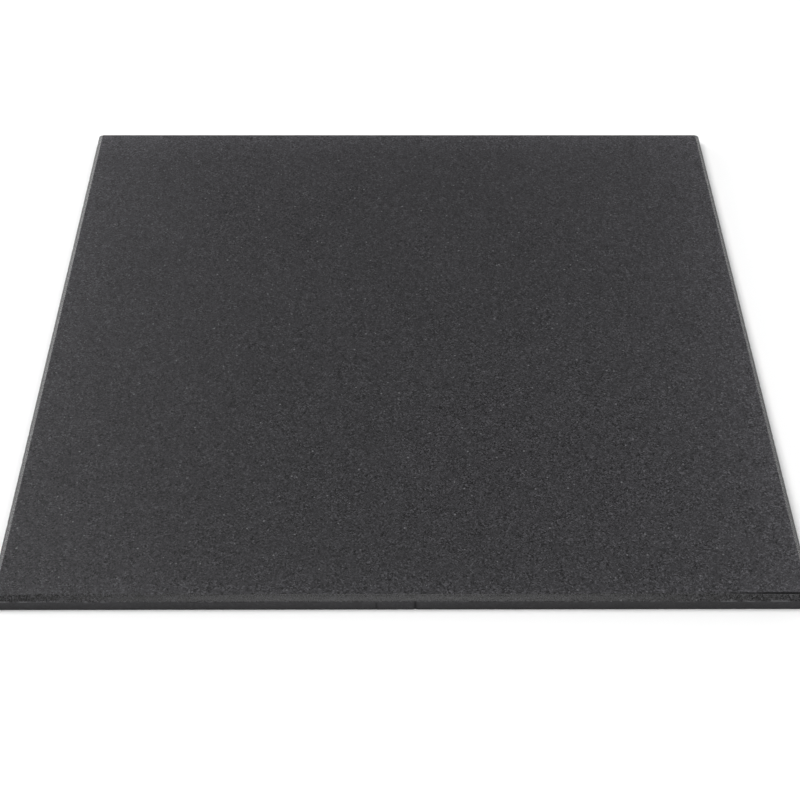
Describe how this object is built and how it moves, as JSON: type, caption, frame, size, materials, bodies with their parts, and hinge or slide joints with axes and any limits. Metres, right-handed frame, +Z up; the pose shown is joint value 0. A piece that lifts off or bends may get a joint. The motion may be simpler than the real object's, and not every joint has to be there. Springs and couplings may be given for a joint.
{
  "type": "granite slab",
  "caption": "Thin square slab of near-black honed granite with a chamfer round its top edge, laid flat on a bench as a hard, level surface for tooling, skiving and cutting leather.",
  "frame": {"origin": "middle of the underside, on the surface that the slab rests on", "axes": "+Z up out of the working face; +Y away from the user; +X to the user's right"},
  "size_m": [0.3048, 0.3048, 0.0065],
  "materials": {
    "black_granite": "honed matt top with fine grey speckle, ground chamfer, plain sawn sides and underside"
  },
  "bodies": {
    "root": {"granite_slab": "black_granite"}
  },
  "joints": []
}
